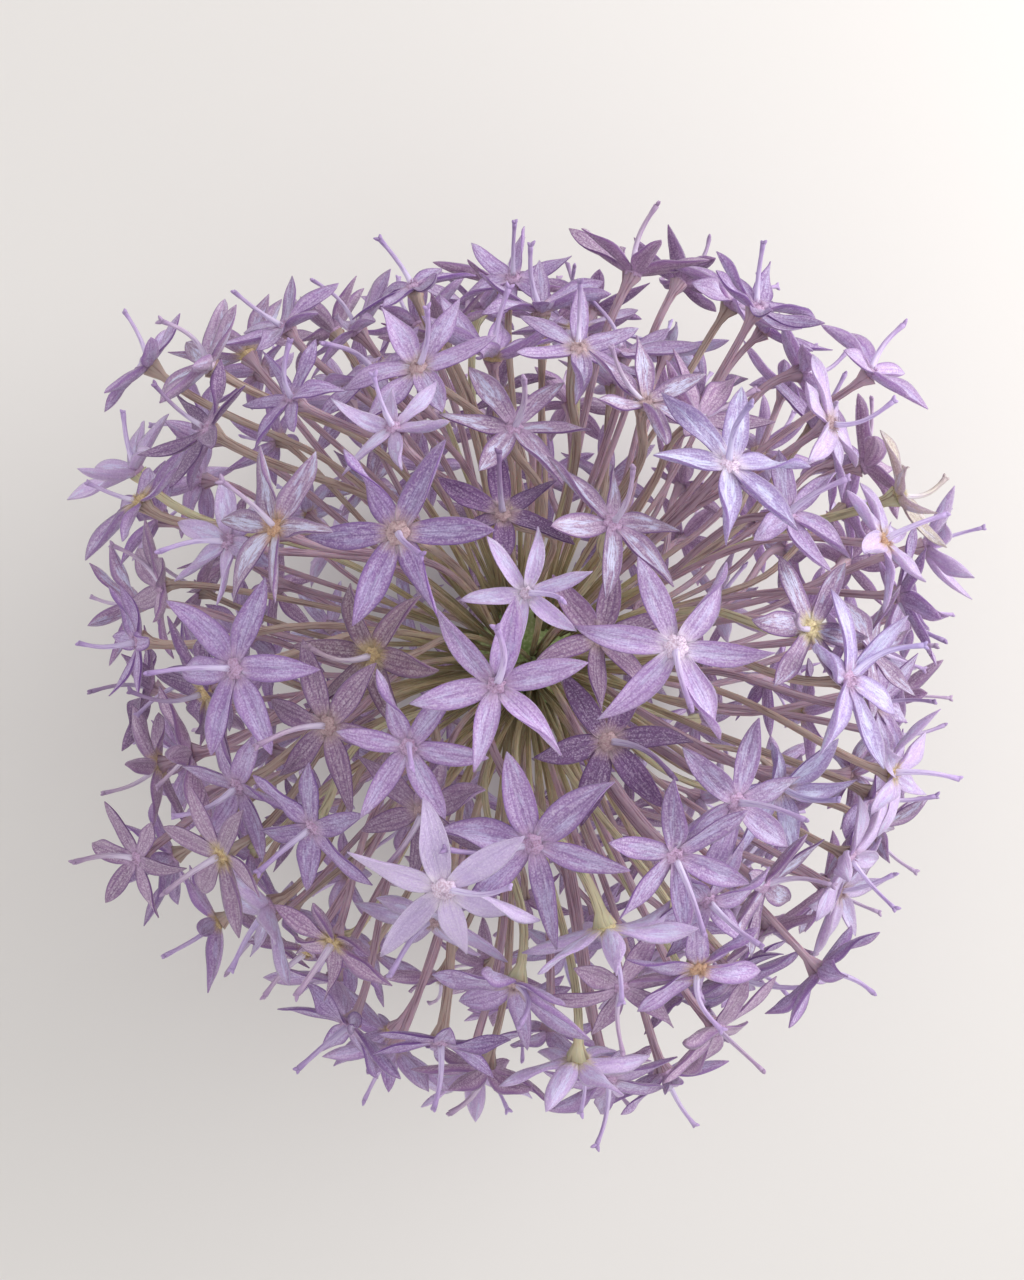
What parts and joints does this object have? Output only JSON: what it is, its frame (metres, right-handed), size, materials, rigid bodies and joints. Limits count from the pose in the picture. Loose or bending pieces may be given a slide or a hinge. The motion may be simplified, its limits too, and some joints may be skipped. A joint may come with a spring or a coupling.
{
  "type": "giant allium flower head",
  "caption": "Globe-shaped allium flower head with star-shaped lilac florets on long stalks round a short cut flower stalk, resting on its underside.",
  "frame": {"origin": "middle of the cut end of the flower stalk, on the surface that the head rests on", "axes": "+Z up along the flower stalk to the crown of the globe; seen from above, +X is right and +Y is up"},
  "size_m": [0.155, 0.1532, 0.1445],
  "materials": {
    "tepal": "velvety lilac tepals, fine lengthwise veins, soft satin sheen",
    "floret_centre": "matte, fuzzy, pale pink to tan",
    "pedicel": "smooth stalk, mauve brown to olive, slightly waxy",
    "scape": "waxy green stalk with fine lengthwise ribs"
  },
  "bodies": {
    "root": {"cyme_01": "tepal", "cyme_02": "tepal", "cyme_03": "tepal", "cyme_04": "tepal", "cyme_05": "tepal", "cyme_06": "tepal", "cyme_07": "tepal", "cyme_08": "tepal", "cyme_09": "tepal", "cyme_10": "tepal", "cyme_11": "tepal", "cyme_12": "tepal", "scape": "scape"}
  },
  "joints": []
}
